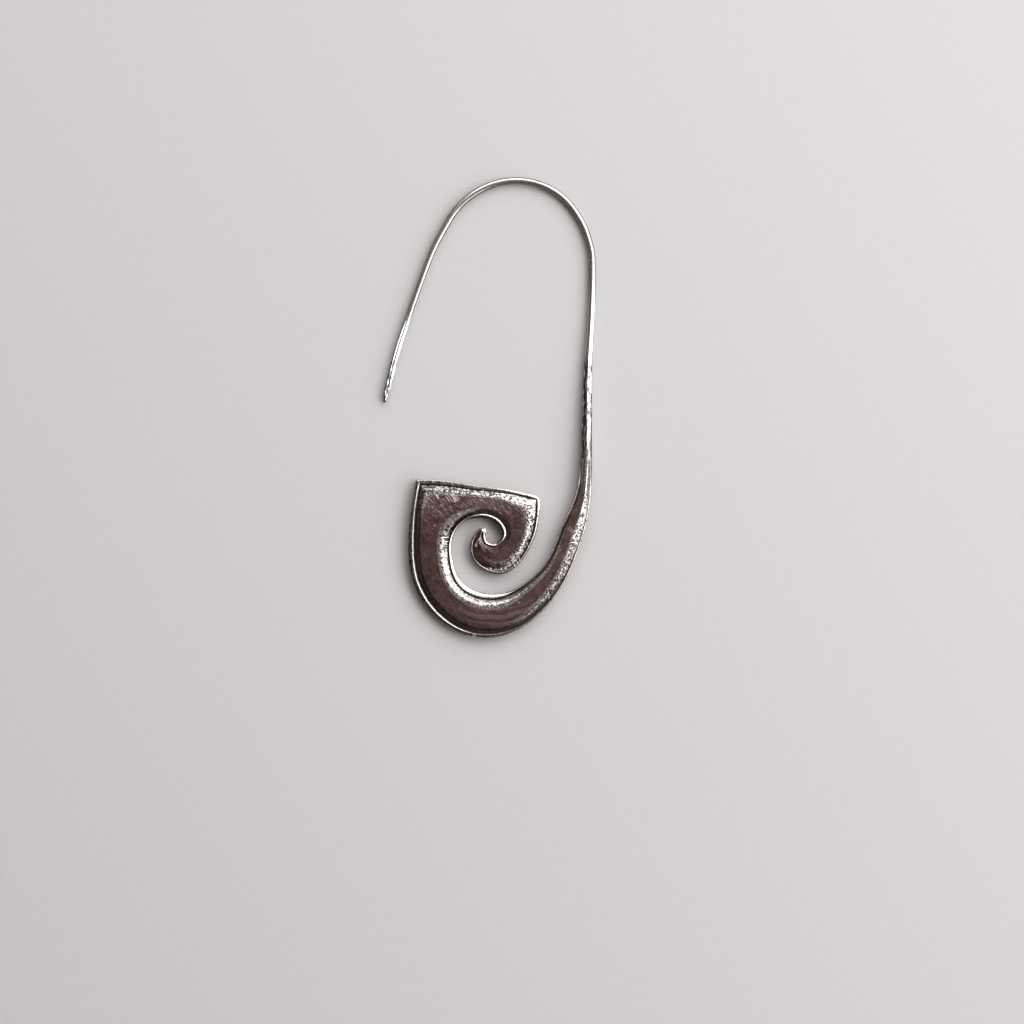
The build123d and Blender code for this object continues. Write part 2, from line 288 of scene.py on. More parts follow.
# Fine scratches in the surface: both ends, half width and strength
Scratch = namedtuple("Scratch", "x0 y0 x1 y1 width strength")
SCRATCHES = rows(
    Scratch,
    (-6.02, 5.88, -5.11, 4.48, 0.08, 1.5), (-5.78, 5.94, -4.96, 4.62, 0.07, 1.3),
    (-5.54, 5.90, -4.76, 4.72, 0.06, 1.2), (-6.30, 5.60, -5.60, 4.50, 0.06, 1.1),
    (-6.65, 5.50, -6.02, 4.62, 0.06, 0.9), (-5.18, 5.60, -4.48, 4.83, 0.05, 0.8),
    (-7.90, 5.60, -7.55, 5.00, 0.07, 1.0), (-9.34, 6.30, -9.24, 5.32, 0.05, 0.7),
    (-9.10, 4.90, -8.89, 3.36, 0.05, 0.6), (-8.12, 3.78, -7.56, 3.15, 0.05, 0.6),
    (-1.68, -1.68, -0.98, -2.52, 0.06, 0.9), (10.36, 1.05, 11.24, 0.11, 0.06, 0.9),
    (10.61, 1.20, 11.42, 0.34, 0.05, 0.8), (2.80, -2.52, 2.83, -3.22, 0.06, 0.8),
    (0.98, 4.48, 1.54, 4.90, 0.06, 0.6), (2.52, 4.20, 3.08, 4.68, 0.06, 0.6),
    (3.78, 3.92, 4.34, 4.34, 0.06, 0.6), (8.82, -2.94, 9.66, -1.82, 0.05, 0.5),
    (10.92, 4.20, 11.76, 5.32, 0.05, 0.5), (-3.22, 4.90, -2.80, 3.92, 0.05, 0.5),
    # Bright smudge near the whorl's tip
    (-1.90, -0.50, -2.50, -1.60, 0.16, 1.0), (-1.60, -0.90, -2.10, -1.40, 0.08, 0.8),
    # Cuts in the flank left of the opening
    (-7.35, -0.40, -6.09, -0.34, 0.10, 2.5), (-7.00, -1.01, -6.20, -0.92, 0.09, 2.5),
    (-7.32, -1.56, -6.94, -1.54, 0.08, 2.0), (-6.60, -1.43, -6.20, -1.37, 0.08, 2.0),
    (-6.60, -2.05, -6.15, -1.97, 0.08, 2.0), (-6.86, 0.66, -6.80, 0.28, 0.08, 1.6),
    (-5.84, 0.70, -5.76, 0.22, 0.07, 1.6),
    # Cuts in the right and lower flanks of the whorl
    (4.56, 0.56, 5.38, 0.14, 0.10, 2.2), (4.84, -0.28, 5.38, -0.56, 0.09, 2.2),
    (4.89, 2.20, 5.41, 2.12, 0.08, 2.0), (4.70, -1.40, 5.32, -1.74, 0.08, 2.2),
    (2.66, -3.50, 3.16, -4.40, 0.10, 2.8), (3.08, -3.24, 3.62, -4.12, 0.10, 2.8),
    (3.50, -3.00, 3.98, -3.78, 0.09, 2.8), (2.40, -2.90, 2.70, -3.30, 0.08, 2.0),
    (-0.84, -4.54, -0.70, -5.10, 0.08, 2.0), (-0.28, -4.62, -0.08, -5.18, 0.08, 2.0),
    (0.42, -4.62, 0.64, -5.20, 0.09, 2.4), (1.12, -4.50, 1.40, -5.14, 0.09, 2.4),
    (1.68, -4.34, 2.02, -4.96, 0.08, 2.4),
)

# Unevenness of the metal: height, wave length or lengths and seed of each layer of noise.
# In the rims' width it is a share of that width, and its seeds are added to the side's.
SOFT_WAVES = ((0.020, 3.4, 3.0), (0.008, 1.3, 21.0))
CUTS_ACROSS = ((0.016, (0.34, 0.8, 1.0), 5.0),)
CUTS = ((0.012, 0.30, 8.0),)
RIM_NICKS = ((0.006, 0.5, 13.0), (0.008, 1.6, 17.0))
RIM_WAVER = ((0.035, 1.3, 0.0), (0.020, 0.5, 5.0))
SLENDER = 5.0                 # narrower than this, the waves are lower
MARKED_FROM = (0.7, 1.0)      # heights above the back at which marks set in
SMOOTH_BELOW = 0.35

# Where the band turns into the round limb and what is done to it there, as heights
# above the eye
BAND_ENDS = 5.0
ROUND_FROM = 14.0
EVEN_FROM = 26.0      # above this the points are spaced evenly round the wire
HAMMERED_FROM = (12.0, 17.0)      # each sets in, or stops, between its two heights
HAMMERED_TO = (32.5, 36.5)
DRAWN_FROM = (30.0, 37.0)         # smooth drawn wire

# Where the file began on the free end, as lengths from the arch's right end, and where
# it stopped, as lengths from the tip
FILED_FROM = (41.0, 45.5)
FILED_TO = (0.5, 1.5)

# Lengths between sections: on the whorl and the top, down the left side, up the limb
FINE_STEP = 0.14
LEFT_STEP = 0.178
LIMB_STEP = 0.38

# Sections over which the crease at each corner is rounded, on each side of it, and how
# widely, at the dome's edge and what that grows by inside
LEFT_SOFTENED = 30
RIGHT_SOFTENED = 16
SOFTENED_EDGE = 0.10
SOFTENED_MORE = 0.75

# Degrees round the whorl's tip at which it has sections
TIP_TURNS = (88, 80, 71, 62, 53, 45, 37, 29, 21, 14, 7)

# Points round a section: on each side, from the middle of the back up to the dome
BACK = (0.40, 0.28, 0.16, 0.07)
BACK_EDGE = ((0.12, 0.0), (0.03, 0.035))
WALL = (0.13, 0.55, 1.0)
BEVEL = (0.15, 0.35, 0.60, 0.82, 1.0)
RIM_TOP = (0.33, 0.67, 1.0)
SLOPE = (0.30, 0.65, 1.0)
FLOOR = (0.30, 0.75)
FLANK = (0.0, 0.05, 0.10, 0.16, 0.23, 0.30, 0.38, 0.46, 0.54, 0.62, 0.71, 0.80, 0.90, 1.0)
CENTRE_POINTS = 47
SIDE_PARTS = {
    "back": BACK,
    "back_edge": BACK_EDGE,
    "wall": WALL,
    "bevel": BEVEL,
    "rim_top": RIM_TOP,
    "slope": SLOPE,
    "floor": FLOOR,
    "flank": FLANK,
}
SIDE_POINTS = sum(len(part) for part in SIDE_PARTS.values())
RING_POINTS = 1 + SIDE_POINTS + CENTRE_POINTS + SIDE_POINTS
FIRST_TOP = len(BACK + BACK_EDGE + WALL)      # last point of the wall
# The same points as degrees round the limb, from underneath
ROUND_SIDE = (
    (14, 28, 40, 50)
    + (58, 64)
    + (72, 84, 95)
    + (100, 104, 108, 112, 116)
    + (119, 122, 125)
    + (128, 131, 134)
    + (137, 140)
    + tuple(142 + 1.85 * k for k in range(len(FLANK)))
)


def on_rib(angle, radius):
    """Point at a clockwise angle and a radius from the eye."""
    turn = math.radians(angle)
    return (radius * math.cos(turn), -radius * math.sin(turn))


def heading_at(turn):
    """Direction at an angle in radians, anticlockwise from the right."""
    return np.array([math.cos(turn), math.sin(turn)])


def length_along(points):
    """Length of the line through points, up to each of them."""
    gaps = np.linalg.norm(np.diff(points, axis=0), axis=1)
    return np.concatenate([[0.0], np.cumsum(gaps)])


def smooth_curve(points, steps=120):
    """Closely spaced points along the smooth curve through the given ones."""
    knots = np.array(points, float)
    at = length_along(knots)
    gaps = np.diff(at)
    chords = np.diff(knots, axis=0) / gaps[:, None]
    count = len(knots)
    system = np.eye(count)
    wanted = np.zeros_like(knots)
    near = min(4, count)
    wanted[0] = np.polyfit(at[:near] - at[0], knots[:near], near - 1)[-2]
    wanted[-1] = np.polyfit(at[-near:] - at[-1], knots[-near:], near - 1)[-2]
    for k in range(1, count - 1):
        system[k, k - 1 : k + 2] = (gaps[k], 2 * (gaps[k - 1] + gaps[k]), gaps[k - 1])
        wanted[k] = 3 * (gaps[k] * chords[k - 1] + gaps[k - 1] * chords[k])
    slopes = np.linalg.solve(system, wanted)
    share = (np.arange(steps) / steps)[:, None]
    spans = []
    for k in range(count - 1):
        start = (1 + 2 * share) * (1 - share) ** 2 * knots[k]
        end = share**2 * (3 - 2 * share) * knots[k + 1]
        leave = share * (1 - share) ** 2 * gaps[k] * slopes[k]
        arrive = share**2 * (share - 1) * gaps[k] * slopes[k + 1]
        spans.append(start + end + leave + arrive)
    return np.concatenate(spans + [knots[-1:]])


Edge = namedtuple("Edge", "angle place heading length")


def edge_through(points, first_angle):
    """Smooth edge through points, with its clockwise angles, headings and length so far."""
    place = smooth_curve(points)
    heading = np.gradient(place, axis=0)
    heading /= np.linalg.norm(heading, axis=1)[:, None]
    angle = -np.degrees(np.unwrap(np.arctan2(place[:, 1], place[:, 0])))
    angle += 360 * round((first_angle - angle[0]) / 360)
    return Edge(angle, place, heading, length_along(place))


def read_edge(edge, angles, field):
    """Place or heading of an edge at some angles."""
    values = getattr(edge, field)
    found = np.stack([np.interp(angles, edge.angle, values[:, k]) for k in (0, 1)], axis=1)
    if field == "heading":
        found /= np.linalg.norm(found, axis=1)[:, None]
    return found


def spread(edge, start, end, spacing):
    """Angles along an edge at even spacing, from start to end, both included."""
    first, last = np.interp((start, end), edge.angle, edge.length)
    count = max(2, int(round(abs(last - first) / spacing)) + 1)
    return np.interp(np.linspace(first, last, count), edge.length, edge.angle)


def limb_sides():
    """Points up the limb's outer and inner sides, from the arch down."""
    outer, inner = [], []
    for stage in LIMB:
        middle = stage.reach * LIMB_REACH
        radius = stage.diameter * LIMB_DIAMETER / 2
        height = stage.height * ARCH_HEIGHT
        outer.append((middle + radius, height))
        inner.append((middle - radius, height))
    return outer, inner


def clockwise(point):
    """Clockwise angle of a point from the right of the eye."""
    return -math.degrees(math.atan2(point[1], point[0]))


def band_edges():
    """Outer edge in three spans that meet at the corners, and the whole inner edge."""

    def points(ribs, side):
        """Where the ribs end on one side."""
        return [on_rib(r.angle, r[side] * SPIRAL_RADIUS) for r in ribs]

    outer_limb, inner_limb = limb_sides()
    left = edge_through(outer_limb[:-1] + points(SWEEP, 2), clockwise(outer_limb[0]))
    top = edge_through(points(SWEEP[-1:] + TOP, 2), LEFT_CORNER)
    right = edge_through(points(TOP[-1:] + WHORL, 2), RIGHT_CORNER)
    inside = edge_through(inner_limb + points(SWEEP + TOP + WHORL, 1), clockwise(inner_limb[0]))
    return left, top, right, inside


def pairing():
    """Smooth table of outer angle to inner angle, limb included."""
    outer_limb, inner_limb = limb_sides()
    pairs = [(clockwise(o), clockwise(i)) for o, i in zip(outer_limb[:-1], inner_limb[:-1])]
    return smooth_curve(pairs + [tuple(p) for p in PAIRS])


def band_stations():
    """Sections from the whorl's tip down the band and up the limb to the arch."""
    left, top, right, inside = band_edges()
    table = pairing()
    spans = [
        (right, spread(right, TIP, RIGHT_CORNER, FINE_STEP)),
        (top, spread(top, RIGHT_CORNER, LEFT_CORNER, FINE_STEP)[1:]),
        (left, spread(left, LEFT_CORNER, LIMB_FOOT, LEFT_STEP)[1:]),
        (left, spread(left, LIMB_FOOT, left.angle[0], LIMB_STEP)[1:]),
    ]
    outer_angle = np.concatenate([angles for _, angles in spans])
    inner_angle = np.interp(outer_angle, table[:, 0], table[:, 1])
    band = {"outer_angle": outer_angle, "inner_angle": inner_angle}
    for end, field in (("", "place"), ("_heading", "heading")):
        band["outer" + end] = np.concatenate([read_edge(edge, a, field) for edge, a in spans])
        band["inner" + end] = read_edge(inside, inner_angle, field)
    band["along"] = length_along(band["outer"])
    band["right_corner"] = len(spans[0][1]) - 1
    band["left_corner"] = band["right_corner"] + len(spans[1][1])
    return band


def step_up(values, low, high):
    """Smooth rise from 0 at low to 1 at high."""
    share = np.clip((np.asarray(values, float) - low) / (high - low), 0, 1)
    return share * share * (3 - 2 * share)


def waver(along, scale, seed):
    """Slow noise between about -1 and 1 along a length."""
    return np.array([noise.noise(Vector((a / scale, seed, 0.5 * seed))) for a in along])


def read_table(table, angles, fields):
    """Values of a table's fields at some angles."""
    known = [row.angle for row in table]
    return {f: np.interp(angles, known, [getattr(row, f) for row in table]) for f in fields}


def rim_values(table, angles, seed, along):
    """Rim widths at some angles, slightly uneven as hand work is."""
    uneven = 1 + sum(share * waver(along, scale, seed + more) for share, scale, more in RIM_WAVER)
    values = read_table(table, angles, Rim._fields[1:])
    for field in ("width", "bevel", "slope", "groove"):
        values[field] = values[field] * uneven
    return values


def side_profile(width, mitre, rim, flank):
    """One side of the band's section: distance in from its edge and height, for each section."""
    width, mitre, flank = width[:, None], mitre[:, None], flank[:, None]
    rim = {name: value[:, None] for name, value in rim.items()}
    crest = RIM_CREST + rim["lift"]
    floor = crest - rim["depth"] * (RIM_CREST - GROOVE_FLOOR)
    rise = DOME_TOP - rim["fall"] - floor
    top_width = rim["width"] - rim["bevel"] - rim["slope"]
    shoulder = crest - RIM_TILT * np.clip(top_width / 0.4, 0, 1)
    wall_top = shoulder - rim["drop"]
    nothing = 0 * width

    def row(values):
        """Values that every section shares."""
        return np.array(values, float)[None, :]

    parts = [
        (row(BACK) * width, nothing + row([0.0] * len(BACK))),
        (row([p[0] for p in BACK_EDGE]) * mitre, nothing + row([p[1] for p in BACK_EDGE])),
        (nothing + row([0.0] * len(WALL)), row(WALL) * wall_top),
        (
            row(BEVEL) * rim["bevel"] * mitre,
            wall_top + rim["drop"] * (1 - (1 - row(BEVEL)) ** BEVEL_TURN),
        ),
        (
            (rim["bevel"] + row(RIM_TOP) * top_width) * mitre,
            shoulder + row(RIM_TOP) * (crest - shoulder),
        ),
        (
            (rim["width"] - (1 - row(SLOPE)) * rim["slope"]) * mitre,
            crest - (crest - floor) * row(SLOPE) ** SLOPE_TURN,
        ),
        (
            (rim["width"] + row(FLOOR) * rim["groove"]) * mitre,
            floor - FLOOR_DIP * rim["depth"] * row([1.0, 1.0]),
        ),
        (
            (rim["width"] + rim["groove"] + row(FLANK) * flank) * mitre,
            nothing + floor + rise * (1 - (1 - row(FLANK)) ** rim["turn"]),
        ),
    ]
    inward, upward = zip(*parts)
    return np.concatenate(inward, axis=1), np.concatenate(upward, axis=1)


# The tables of each side, and the seed of its unevenness
SIDES = {
    "outer": (OUTER_RIM, WHORL_SIDE, OUTER_SHADES, 3.0),
    "inner": (INNER_RIM, EYE_SIDE, INNER_SHADES, 11.0),
}
SIDE_FACTS = ("_tooling", "_depth", "_bevel", "_top", "_flank")
LEAST_SINE = 0.55     # limits how far a mitre at a sharp corner stretches the rim


def band_profile(band):
    """Whole sections of the band: distance from the outer edge and height."""
    across = band["inner"] - band["outer"]
    width = np.linalg.norm(across, axis=1)
    across = across / width[:, None]
    rims, mitres, used = {}, {}, 0.0
    for side, (table, heights, shades, seed) in SIDES.items():
        heading, angles = band[side + "_heading"], band[side + "_angle"]
        sine = np.abs(across[:, 0] * heading[:, 1] - across[:, 1] * heading[:, 0])
        mitres[side] = 1 / np.maximum(sine, LEAST_SINE)
        rim = rims[side] = rim_values(table, angles, seed, band["along"])
        rim.update(read_table(heights, angles, ("lift", "fall")))
        used = used + (rim["width"] + rim["groove"]) * mitres[side]
        shade = read_table(shades, angles, ("bevel", "top", "flank"))
        for field in SIDE_FACTS:
            band[side + field] = {**rim, **shade}[field[1:]]
    spare = np.maximum(width - used, 0.1)
    profiles = []
    for side, rim in rims.items():
        flank = np.minimum(rim["flank"], FLANK_SHARE * spare / mitres[side])
        profiles.append(side_profile(width, mitres[side], rim, flank))
    (outer_in, outer_up), (inner_in, inner_up) = profiles
    round_corners(band, outer_in, rims["outer"]["width"] * mitres["outer"])
    start, end = outer_in[:, -1:], width[:, None] - inner_in[:, -1:]
    share = (np.arange(1, CENTRE_POINTS + 1) / (CENTRE_POINTS + 1))[None, :]
    middle_in = start + share * (end - start)
    crown = DOME_CROWN * 4 * share * (1 - share) * np.clip((end - start) / 3, 0, 1)
    middle_up = outer_up[:, -1:] + share * (inner_up[:, -1:] - outer_up[:, -1:]) + crown
    inward = np.concatenate(
        [width[:, None] / 2, outer_in, middle_in, (width[:, None] - inner_in)[:, ::-1]], axis=1
    )
    upward = np.concatenate([0 * start, outer_up, middle_up, inner_up[:, ::-1]], axis=1)
    return inward, upward, width, across


def round_corners(band, inward, rim_width):
    """Rounds the outline at both corners, inside the rim."""
    cut = 0.0
    for corner, (depth, reach) in (("right_corner", RIGHT_CUT), ("left_corner", LEFT_CUT)):
        away = np.abs(band["along"] - band["along"][band[corner]])
        cut = cut + depth * np.clip(1 - away / reach, 0, 1) ** 2
    inward += cut[:, None] * np.clip(1 - inward / rim_width[:, None], 0, 1)


def round_profile(width, axis_height, slide):
    """Round sections with the same points: distance from the outer side and height."""
    side = np.array(ROUND_SIDE, float)
    middle = np.linspace(side[-1], 360 - side[-1], CENTRE_POINTS + 2)[1:-1]
    fitted = np.concatenate([[0.0], side, middle, 360 - side[::-1]])
    even = np.arange(RING_POINTS) * 360 / RING_POINTS
    turn = np.radians(fitted[None, :] * (1 - slide[:, None]) + even[None, :] * slide[:, None])
    radius = width[:, None] / 2
    return radius * (1 - np.sin(turn)), axis_height[:, None] - radius * np.cos(turn)


def tip_sections(outer, inner, inward, upward, width):
    """Sections that close the whorl's tip in a half circle, furthest first."""
    middle = (outer + inner) / 2
    half = width / 2
    side = (outer - middle) / half
    ahead = np.array([-side[1], side[0]])
    if ahead @ np.array(on_rib(TIP + 90, 1.0)) < 0:
        ahead = -ahead
    from_edge = inward[FIRST_TOP : RING_POINTS // 2]
    height = upward[FIRST_TOP : RING_POINTS // 2]
    rings = []
    for turn in np.radians(TIP_TURNS):
        reach = half * np.cos(turn)
        aside = side * (reach - inward * reach / half)[:, None]
        places = middle + half * np.sin(turn) * ahead + aside
        edge = half - np.linalg.norm(places - middle, axis=1)
        lifted = np.interp(edge, from_edge, height)
        on_top = np.zeros(RING_POINTS, bool)
        on_top[FIRST_TOP + 1 : RING_POINTS - FIRST_TOP] = True
        rings.append(np.column_stack([places, np.where(on_top, lifted, upward)]))
    return rings


def wire_axis():
    """Axis of the arch, knee, free end and nose: places, headings and diameters."""
    places, headings, sizes = [], [], []
    for turn in np.radians(np.linspace(0, ARCH_TURN, ARCH_STEPS + 1)[1:]):
        places.append(np.array([ARCH_OFFSET, ARCH_HEIGHT]) + ARCH_RADIUS * heading_at(turn))
        headings.append(heading_at(turn + math.pi / 2))
        sizes.append(ARCH_DIAMETER)

    def go(length, turn, count, start_size, end_size):
        """Runs on over a length while it turns and thins evenly."""
        bearing = math.atan2(headings[-1][1], headings[-1][0])
        for share in np.linspace(0, 1, count + 1)[1:]:
            new = heading_at(bearing + math.radians(turn) * share)
            between = headings[-1] + new
            places.append(places[-1] + between / np.linalg.norm(between) * length / count)
            headings.append(new)
            sizes.append(start_size + (end_size - start_size) * share)

    bend = KNEE_RADIUS * math.radians(KNEE_TURN)
    thinning = ARCH_DIAMETER - WIRE_DIAMETER
    between = ARCH_DIAMETER - thinning * KNEE_RUN / (KNEE_RUN + bend)
    go(KNEE_RUN, 0, 5, ARCH_DIAMETER, between)
    go(bend, KNEE_TURN, 12, between, WIRE_DIAMETER)
    go(FREE_LENGTH, 0, 26, WIRE_DIAMETER, WIRE_DIAMETER)
    go(NOSE_LENGTH, 0, 8, WIRE_DIAMETER, NOSE_DIAMETER)
    for share in NOSE_SHARES:
        places.append(places[-1] + headings[-1] * NOSE_STEP * (1.1 - share))
        headings.append(headings[-1])
        sizes.append(NOSE_DIAMETER * math.sqrt(max(0.002, 1 - share**2)))
    return np.array(places), np.array(headings), np.array(sizes)


def wire_rings():
    """Sections of the wire beyond the limb, and how much their top is filed flat."""
    places, headings, sizes = wire_axis()
    side = np.stack([headings[:, 1], -headings[:, 0]], axis=1)
    first = np.array([ARCH_OFFSET + ARCH_RADIUS, ARCH_HEIGHT])
    along = length_along(np.concatenate([[first], places]))[1:]
    bends = smooth_curve([tuple(b) for b in BENDS], 20)
    places = places + side * np.interp(along, bends[:, 0], bends[:, 1])[:, None]
    inward, upward = round_profile(sizes, np.full(len(sizes), AXIS_HEIGHT), np.ones(len(sizes)))
    filed = step_up(along, *FILED_FROM) * step_up(along[-1] - along, *FILED_TO)
    radius = sizes[:, None] / 2
    outside = 1 - inward / radius
    plane = AXIS_HEIGHT + radius * (END_SLOPE * outside + (1 - END_CUT) * math.hypot(1, END_SLOPE))
    upward = upward - filed[:, None] * np.maximum(upward - plane, 0)
    seam = filed[:, None] * np.clip(1.5 - np.abs(outside - END_LINE) / END_LINE_HALF, 0, 1)
    seam = seam * (upward > AXIS_HEIGHT)
    outer = places + side * sizes[:, None] / 2
    flat = outer[:, None, :] - side[:, None, :] * inward[:, :, None]
    return np.concatenate([flat, upward[:, :, None]], axis=2), seam


def hammer_shoulder(inward, upward, width, height):
    """Flattens the outer shoulder of the limb to a slope."""
    radius = width[:, None] / 2
    outside = 1 - inward / radius
    slope = 2 * radius - SHOULDER_SLOPE * outside * radius
    share = SHOULDER_SHARE * step_up(height, *HAMMERED_FROM) * (1 - step_up(height, *HAMMERED_TO))
    over = np.where(outside > 0, np.maximum(upward - slope, 0), 0)
    return upward - share[:, None] * over


def soften(rings, corner, reach, columns, widest):
    """Rounds the crease that runs in from a corner across the dome."""
    for column, sigma in zip(columns, widest):
        near = np.arange(corner - reach, corner + reach + 1)
        line = rings[near, column].copy()
        at = length_along(line)
        for k, station in enumerate(near):
            fade = 1 - abs(k - reach) / reach
            if fade <= 0:
                continue
            weight = np.exp(-0.5 * ((at - at[k]) / (sigma * fade + 1e-6)) ** 2)
            weight *= np.gradient(at)
            rings[station, column] = (line * weight[:, None]).sum(0) / weight.sum()


def ear_hook_rings():
    """All sections, from the whorl's tip to the end of the wire, about the eye."""
    band = band_stations()
    inward, upward, width, across = band_profile(band)
    tip = tip_sections(band["outer"][0], band["inner"][0], inward[0], upward[0], width[0])
    height = band["outer"][:, 1] * (band["outer_angle"] < 0)
    roundness = step_up(height, BAND_ENDS, ROUND_FROM)
    slide = step_up(height, ROUND_FROM, EVEN_FROM)
    round_in, round_up = round_profile(width, width / 2, slide)
    round_up = hammer_shoulder(round_in, round_up, width, height)
    share = roundness[:, None]
    inward = inward * (1 - share) + round_in * share
    upward = upward * (1 - share) + round_up * share
    flat = band["outer"][:, None, :] + across[:, None, :] * inward[:, :, None]
    rings = np.concatenate([flat, upward[:, :, None]], axis=2)
    dome = range(1 + SIDE_POINTS - len(FLANK) + 1, 1 + SIDE_POINTS + CENTRE_POINTS + len(FLANK))
    inside = np.minimum(1.0, np.arange(len(dome)) / len(FLANK))
    widest = SOFTENED_EDGE + SOFTENED_MORE * inside
    soften(rings, band["left_corner"], LEFT_SOFTENED, dome, widest)
    soften(rings, band["right_corner"], RIGHT_SOFTENED, dome, widest)
    wire, seam = wire_rings()
    every = np.concatenate([np.array(tip), rings, wire])

    def along_all(values, start, end):
        """Values on the band, with one for the tip and one for the wire."""
        return np.concatenate([np.full(len(tip), start), values, np.full(len(wire), end)])

    facts = {"roundness": along_all(roundness, 0.0, 1.0)}
    facts["drawn"] = along_all(step_up(height, *DRAWN_FROM), 0.0, 1.0)
    facts["seam"] = np.concatenate([np.zeros((len(every) - len(wire), RING_POINTS)), seam])
    for name in ["inner_angle"] + [side + field for side in SIDES for field in SIDE_FACTS]:
        facts[name] = along_all(band[name], band[name][0], band[name][-1])
    return every, facts


def side_values(**given):
    """Values for the points of one side, from the middle of the back up, by the parts given."""
    return np.concatenate([np.zeros(len(p)) + given.get(n, 0) for n, p in SIDE_PARTS.items()])


def one_side(name, of_side, centre=0.0):
    """A value for every point of a section from the values of its outer or inner side."""
    middle = np.zeros(CENTRE_POINTS) + centre
    blank = np.zeros(SIDE_POINTS)
    first, last = (of_side, blank) if name == "outer" else (blank, of_side)
    return np.concatenate([[0.0], first, middle, last[::-1]])


def on_band(facts, end):
    """1 on the flat band, fading to 0 where a section is this round."""
    return (1 - step_up(facts["roundness"], 0.0, end))[:, None]


def tooling_mask(facts):
    """How marked by tools each point is: the flanks, most at their heads, fading onto the dome."""
    core = side_values(flank=np.interp(FLANK, (0.0, 0.1, 0.5, 0.8), (0.5, 1.0, 0.6, 0.0)))
    head = side_values(flank=np.interp(FLANK, (0.3, 0.8, 1.0), (0.0, 1.0, 0.9)))
    centre = np.arange(1, CENTRE_POINTS + 1) / (CENTRE_POINTS + 1)
    mask = 0.0
    for name, away in (("outer", centre), ("inner", 1 - centre)):
        amount = facts[name + "_tooling"][:, None]
        near = 0.9 * (1 - step_up(away, 0.0, 0.30))
        mask = mask + amount**3 * one_side(name, core) + amount * one_side(name, head, near)
    return mask * (1 - 0.85 * facts["roundness"][:, None])


def rim_mask(facts):
    """Where the rims are."""
    side = side_values(bevel=1, rim_top=1, slope=(1.0, 0.8, 0.2))
    return (one_side("outer", side) + one_side("inner", side)) * on_band(facts, 0.55)


def shade_mask(facts):
    """Painted shade: how dark the rims and flanks are painted at each point."""
    flank = np.interp(FLANK, (0.0, 0.6, 1.0), (1.0, 0.9, 0.3))
    parts = {
        "_bevel": side_values(wall=(0, 1, 1), bevel=(1.0, 1.0, 1.0, 0.9, 0.7)),
        "_top": side_values(bevel=(0, 0, 0, 0, 0.3), rim_top=(1.0, 0.9, 0.3)),
        "_flank": side_values(flank=flank),
    }
    mask = 0.0
    for side in ("outer", "inner"):
        for name, columns in parts.items():
            mask = mask + facts[side + name][:, None] * one_side(side, columns)
    return mask * on_band(facts, 0.6)


def groove_mask(facts):
    """How deep in the grooves each point is, and the dark foot of the flank at the whorl's tip."""
    foot = np.interp(FLANK, FLANK[:4], (0.85, 0.30, 0.08, 0.0))
    side = side_values(slope=(0.0, 0.12, 0.75), floor=1, flank=foot)
    mask = 0.0
    for name in ("outer", "inner"):
        amount = np.clip((facts[name + "_depth"] - 0.2) / 0.6, 0, 1)[:, None]
        mask = mask + amount * one_side(name, side)
    near_tip = side_values(flank=np.interp(FLANK, (0.0, 0.3, 0.6), (0.9, 0.6, 0.0)))
    tip = step_up(facts["inner_angle"], *TIP_ANGLES)[:, None] * one_side("inner", near_tip)
    return np.maximum(mask, tip) * on_band(facts, 0.45)


def outward(rings):
    """Direction square to the surface at every point."""
    round_way = np.roll(rings, -1, axis=1) - np.roll(rings, 1, axis=1)
    normal = np.cross(round_way, np.gradient(rings, axis=0))
    normal /= np.maximum(np.linalg.norm(normal, axis=2, keepdims=True), 1e-9)
    middle = RING_POINTS // 2
    return normal * np.sign(normal[len(normal) // 2, middle, 2])


def ripple(points, scale, seed):
    """Smooth noise between about -1 and 1 at each point, of one wave length or of three."""
    flat = points.reshape(-1, 3) / np.array(scale)
    values = [noise.noise(Vector((p[0] + seed, p[1] - seed, p[2] + 0.5 * seed))) for p in flat]
    return np.array(values).reshape(points.shape[:2])


def layered(points, layers):
    """Layers of noise at each point, added up."""
    return sum(height * ripple(points, scale, seed) for height, scale, seed in layers)


def mark_depths(rings):
    """Depth that the marks press into the top at each point."""
    depth = np.zeros(rings.shape[:2])
    for mark in MARKS:
        turn = math.radians(mark.turn)
        dx, dy = rings[:, :, 0] - mark.x, rings[:, :, 1] - mark.y
        along = np.abs(dx * math.cos(turn) + dy * math.sin(turn))
        across = dy * math.cos(turn) - dx * math.sin(turn)
        past = np.maximum(along - mark.length / 2, 0)
        depth += mark.depth * np.exp(-((across / mark.width) ** 2) - (past / mark.width) ** 2)
    return depth * step_up(rings[:, :, 2], *MARKED_FROM)


def roughen(rings, facts):
    """Hand work in the metal: soft waves, tool marks on the flanks, nicks in the rims."""
    normal = outward(rings)
    size = np.linalg.norm(rings.max(axis=1) - rings.min(axis=1), axis=1)
    slender = np.clip(size / SLENDER, 0.25, 1.0)[:, None]
    push = slender * layered(rings, SOFT_WAVES)
    unrolled = np.zeros_like(rings)
    unrolled[:, :, 0] = length_along(rings[:, RING_POINTS // 2])[:, None]
    edge = rings[:, FIRST_TOP, None, :2]
    unrolled[:, :, 1] = np.linalg.norm(rings[:, :, :2] - edge, axis=2)
    push += tooling_mask(facts) * (layered(unrolled, CUTS_ACROSS) + layered(rings, CUTS))
    push += rim_mask(facts) * layered(rings, RIM_NICKS)
    push -= mark_depths(rings)
    push *= np.clip(rings[:, :, 2] / SMOOTH_BELOW, 0, 1)
    rough = rings + normal * push[:, :, None]
    rough[:, :, 2] = np.maximum(rough[:, :, 2], 0)
    return rough


